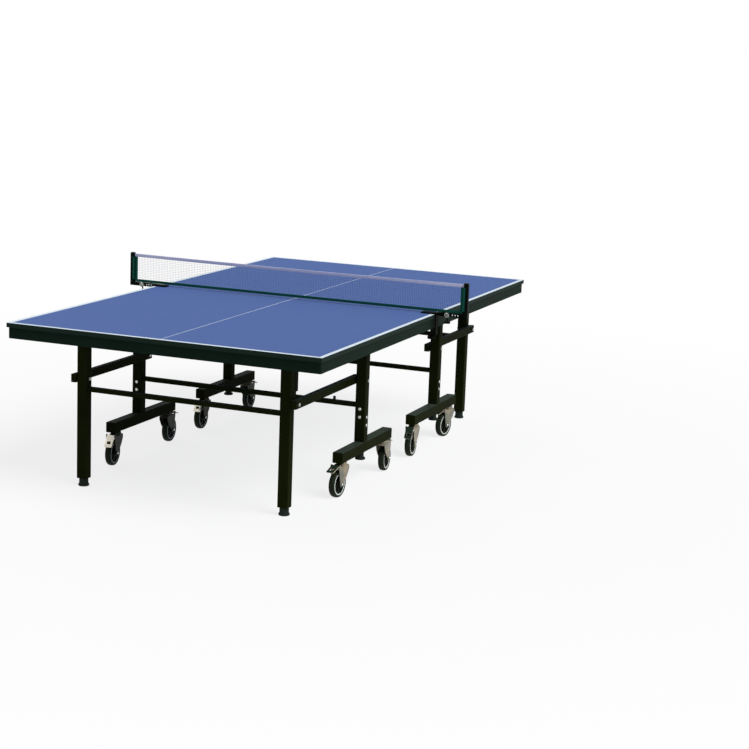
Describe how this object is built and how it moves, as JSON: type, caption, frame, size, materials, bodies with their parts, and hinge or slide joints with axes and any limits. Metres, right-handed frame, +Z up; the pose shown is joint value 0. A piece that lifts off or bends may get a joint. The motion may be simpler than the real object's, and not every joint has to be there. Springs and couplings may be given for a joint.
{
  "type": "ping pong table",
  "caption": "Roll-away ping pong table in two folding halves on castered stands, with apron rails, hinged legs on parallel links and a clamp-on net.",
  "frame": {"origin": "on the floor under the middle of the net", "axes": "+X along the table, +Y across it to the left side seen from the near (-X) end, +Z up"},
  "size_m": [2.74, 1.83, 0.9185],
  "materials": {
    "playing_board": "matt blue paint over board, both faces, white lines on top",
    "apron": "satin black green powder coat",
    "frame": "satin black green powder coat",
    "bracket": "satin black",
    "brass_screw": "satin",
    "bolt": "zinc plated",
    "foot_rubber": "matt",
    "caster_fork": "zinc plated",
    "caster_wheel": "tread with a pale ring and a black hub",
    "caster_pedal": "zinc plated",
    "net_cloth": "fine dark mesh, white tape above, green band below",
    "net_post": "gloss dark green"
  },
  "bodies": {
    "far_frame": {"far_post_frame": "frame", "far_wheel_beams": "frame", "far_frame_bolts": "bolt", "far_support_feet": "foot_rubber"},
    "far_top": {"far_top_board": "playing_board", "far_end_rail": "apron", "far_side_rails": "apron", "far_net_rail": "apron", "far_brackets": "bracket", "far_board_screws": "brass_screw"},
    "far_legs": {"far_leg_frame": "frame", "far_leg_feet": "foot_rubber", "far_leg_bolts": "bolt"},
    "far_links": {"far_fold_links": "frame"},
    "far_latch": {"far_fold_latch": "bracket"},
    "near_frame": {"near_post_frame": "frame", "near_wheel_beams": "frame", "near_frame_bolts": "bolt", "near_support_feet": "foot_rubber"},
    "near_top": {"near_top_board": "playing_board", "near_end_rail": "apron", "near_side_rails": "apron", "near_net_rail": "apron", "near_brackets": "bracket", "near_board_screws": "brass_screw", "net": "net_cloth", "net_posts": "net_post", "net_clamps": "bracket", "net_screws": "bolt"},
    "near_legs": {"near_leg_frame": "frame", "near_leg_feet": "foot_rubber", "near_leg_bolts": "bolt"},
    "near_links": {"near_fold_links": "frame"},
    "near_latch": {"near_fold_latch": "bracket"},
    "near_left_outer_caster": {"near_left_outer_fork": "caster_fork"},
    "near_left_outer_roller": {"near_left_outer_wheel": "caster_wheel"},
    "near_left_outer_brake": {"near_left_outer_pedal": "caster_pedal"},
    "near_left_inner_caster": {"near_left_inner_fork": "caster_fork"},
    "near_left_inner_roller": {"near_left_inner_wheel": "caster_wheel"},
    "near_left_inner_brake": {"near_left_inner_pedal": "caster_pedal"},
    "near_right_outer_caster": {"near_right_outer_fork": "caster_fork"},
    "near_right_outer_roller": {"near_right_outer_wheel": "caster_wheel"},
    "near_right_outer_brake": {"near_right_outer_pedal": "caster_pedal"},
    "near_right_inner_caster": {"near_right_inner_fork": "caster_fork"},
    "near_right_inner_roller": {"near_right_inner_wheel": "caster_wheel"},
    "near_right_inner_brake": {"near_right_inner_pedal": "caster_pedal"},
    "far_left_inner_caster": {"far_left_inner_fork": "caster_fork"},
    "far_left_inner_roller": {"far_left_inner_wheel": "caster_wheel"},
    "far_left_inner_brake": {"far_left_inner_pedal": "caster_pedal"},
    "far_left_outer_caster": {"far_left_outer_fork": "caster_fork"},
    "far_left_outer_roller": {"far_left_outer_wheel": "caster_wheel"},
    "far_left_outer_brake": {"far_left_outer_pedal": "caster_pedal"},
    "far_right_inner_caster": {"far_right_inner_fork": "caster_fork"},
    "far_right_inner_roller": {"far_right_inner_wheel": "caster_wheel"},
    "far_right_inner_brake": {"far_right_inner_pedal": "caster_pedal"},
    "far_right_outer_caster": {"far_right_outer_fork": "caster_fork"},
    "far_right_outer_roller": {"far_right_outer_wheel": "caster_wheel"},
    "far_right_outer_brake": {"far_right_outer_pedal": "caster_pedal"},
    "left_screw": {"left_clamp_screw": "bracket"},
    "right_screw": {"right_clamp_screw": "bracket"}
  },
  "joints": [
    {"name": "near_half_roll", "type": "slide", "parent": "far_frame", "child": "near_frame", "axis": [-1, 0, 0], "range_m": [0, 0.4]},
    {"name": "far_half_fold", "type": "hinge", "parent": "far_frame", "child": "far_top", "pos_m": [0.487, 0, 0.7], "axis": [0, -1, 0], "range_deg": [0, 90]},
    {"name": "far_legs_swing", "type": "hinge", "parent": "far_top", "child": "far_legs", "pos_m": [1.135, 0, 0.7], "axis": [0, -1, 0], "range_deg": [-90, 0]},
    {"name": "far_links_swing", "type": "hinge", "parent": "far_frame", "child": "far_links", "pos_m": [0.487, 0, 0.498], "axis": [0, -1, 0], "range_deg": [0, 90]},
    {"name": "far_latch_swing", "type": "hinge", "parent": "far_top", "child": "far_latch", "pos_m": [0.217, 0.512, 0.7], "axis": [0, 0, -1], "range_deg": [0, 26]},
    {"name": "near_half_fold", "type": "hinge", "parent": "near_frame", "child": "near_top", "pos_m": [-0.487, 0, 0.7], "axis": [0, 1, 0], "range_deg": [0, 90]},
    {"name": "near_legs_swing", "type": "hinge", "parent": "near_top", "child": "near_legs", "pos_m": [-1.135, 0, 0.7], "axis": [0, 1, 0], "range_deg": [-90, 0]},
    {"name": "near_links_swing", "type": "hinge", "parent": "near_frame", "child": "near_links", "pos_m": [-0.487, 0, 0.498], "axis": [0, 1, 0], "range_deg": [0, 90]},
    {"name": "near_latch_swing", "type": "hinge", "parent": "near_top", "child": "near_latch", "pos_m": [-0.217, -0.512, 0.7], "axis": [0, 0, -1], "range_deg": [0, 26]},
    {"name": "left_clamp_travel", "type": "slide", "parent": "near_top", "child": "left_screw", "axis": [0, 0, -1], "range_m": [0, 0.015]},
    {"name": "right_clamp_travel", "type": "slide", "parent": "near_top", "child": "right_screw", "axis": [0, 0, -1], "range_m": [0, 0.015]},
    {"name": "near_left_outer_swivel", "type": "hinge", "parent": "near_frame", "child": "near_left_outer_caster", "pos_m": [-0.705, 0.5865, 0.16], "axis": [0, 0, 1], "continuous": true},
    {"name": "near_left_outer_spin", "type": "hinge", "parent": "near_left_outer_caster", "child": "near_left_outer_roller", "pos_m": [-0.74272, 0.58187, 0.0625], "axis": [0.1219, -0.9925, 0], "continuous": true},
    {"name": "near_left_outer_press", "type": "hinge", "parent": "near_left_outer_caster", "child": "near_left_outer_brake", "pos_m": [-0.76257, 0.57943, 0.147], "axis": [0.1219, -0.9925, 0], "range_deg": [-34, 0]},
    {"name": "near_left_inner_swivel", "type": "hinge", "parent": "near_frame", "child": "near_left_inner_caster", "pos_m": [-0.207, 0.5865, 0.16], "axis": [0, 0, 1], "continuous": true},
    {"name": "near_left_inner_spin", "type": "hinge", "parent": "near_left_inner_caster", "child": "near_left_inner_roller", "pos_m": [-0.16914, 0.58981, 0.0625], "axis": [-0.0872, 0.9962, 0], "continuous": true},
    {"name": "near_left_inner_press", "type": "hinge", "parent": "near_left_inner_caster", "child": "near_left_inner_brake", "pos_m": [-0.14922, 0.59156, 0.147], "axis": [-0.0872, 0.9962, 0], "range_deg": [0, 34]},
    {"name": "near_right_outer_swivel", "type": "hinge", "parent": "near_frame", "child": "near_right_outer_caster", "pos_m": [-0.705, -0.5865, 0.16], "axis": [0, 0, 1], "continuous": true},
    {"name": "near_right_outer_spin", "type": "hinge", "parent": "near_right_outer_caster", "child": "near_right_outer_roller", "pos_m": [-0.74291, -0.58385, 0.0625], "axis": [-0.0698, -0.9976, 0], "continuous": true},
    {"name": "near_right_outer_press", "type": "hinge", "parent": "near_right_outer_caster", "child": "near_right_outer_brake", "pos_m": [-0.76286, -0.58245, 0.147], "axis": [-0.0698, -0.9976, 0], "range_deg": [0, 34]},
    {"name": "near_right_inner_swivel", "type": "hinge", "parent": "near_frame", "child": "near_right_inner_caster", "pos_m": [-0.207, -0.5865, 0.16], "axis": [0, 0, 1], "continuous": true},
    {"name": "near_right_inner_spin", "type": "hinge", "parent": "near_right_inner_caster", "child": "near_right_inner_roller", "pos_m": [-0.16914, -0.58319, 0.0625], "axis": [-0.0872, 0.9962, 0], "continuous": true},
    {"name": "near_right_inner_press", "type": "hinge", "parent": "near_right_inner_caster", "child": "near_right_inner_brake", "pos_m": [-0.14922, -0.58144, 0.147], "axis": [-0.0872, 0.9962, 0], "range_deg": [0, 34]},
    {"name": "far_left_inner_swivel", "type": "hinge", "parent": "far_frame", "child": "far_left_inner_caster", "pos_m": [0.207, 0.5865, 0.16], "axis": [0, 0, 1], "continuous": true},
    {"name": "far_left_inner_spin", "type": "hinge", "parent": "far_left_inner_caster", "child": "far_left_inner_roller", "pos_m": [0.16905, 0.58451, 0.0625], "axis": [0.0523, -0.9986, 0], "continuous": true},
    {"name": "far_left_inner_press", "type": "hinge", "parent": "far_left_inner_caster", "child": "far_left_inner_brake", "pos_m": [0.14908, 0.58347, 0.147], "axis": [0.0523, -0.9986, 0], "range_deg": [-34, 0]},
    {"name": "far_left_outer_swivel", "type": "hinge", "parent": "far_frame", "child": "far_left_outer_caster", "pos_m": [0.705, 0.5865, 0.16], "axis": [0, 0, 1], "continuous": true},
    {"name": "far_left_outer_spin", "type": "hinge", "parent": "far_left_outer_caster", "child": "far_left_outer_roller", "pos_m": [0.74295, 0.58849, 0.0625], "axis": [-0.0523, 0.9986, 0], "continuous": true},
    {"name": "far_left_outer_press", "type": "hinge", "parent": "far_left_outer_caster", "child": "far_left_outer_brake", "pos_m": [0.76292, 0.58954, 0.147], "axis": [-0.0523, 0.9986, 0], "range_deg": [0, 34]},
    {"name": "far_right_inner_swivel", "type": "hinge", "parent": "far_frame", "child": "far_right_inner_caster", "pos_m": [0.207, -0.5865, 0.16], "axis": [0, 0, 1], "continuous": true},
    {"name": "far_right_inner_spin", "type": "hinge", "parent": "far_right_inner_caster", "child": "far_right_inner_roller", "pos_m": [0.16909, -0.58915, 0.0625], "axis": [0.0698, -0.9976, 0], "continuous": true},
    {"name": "far_right_inner_press", "type": "hinge", "parent": "far_right_inner_caster", "child": "far_right_inner_brake", "pos_m": [0.14914, -0.59055, 0.147], "axis": [0.0698, -0.9976, 0], "range_deg": [-34, 0]},
    {"name": "far_right_outer_swivel", "type": "hinge", "parent": "far_frame", "child": "far_right_outer_caster", "pos_m": [0.705, -0.5865, 0.16], "axis": [0, 0, 1], "continuous": true},
    {"name": "far_right_outer_spin", "type": "hinge", "parent": "far_right_outer_caster", "child": "far_right_outer_roller", "pos_m": [0.66758, -0.5799, 0.0625], "axis": [-0.1736, -0.9848, 0], "continuous": true},
    {"name": "far_right_outer_press", "type": "hinge", "parent": "far_right_outer_caster", "child": "far_right_outer_brake", "pos_m": [0.64788, -0.57643, 0.147], "axis": [-0.1736, -0.9848, 0], "range_deg": [0, 34]}
  ],
  "couplings": [
    {"joint": "near_half_roll", "follows": "near_half_fold", "m_per_rad": 0.25},
    {"joint": "far_legs_swing", "follows": "far_half_fold", "ratio": -1},
    {"joint": "far_links_swing", "follows": "far_half_fold", "ratio": 1},
    {"joint": "near_legs_swing", "follows": "near_half_fold", "ratio": -1},
    {"joint": "near_links_swing", "follows": "near_half_fold", "ratio": 1}
  ]
}
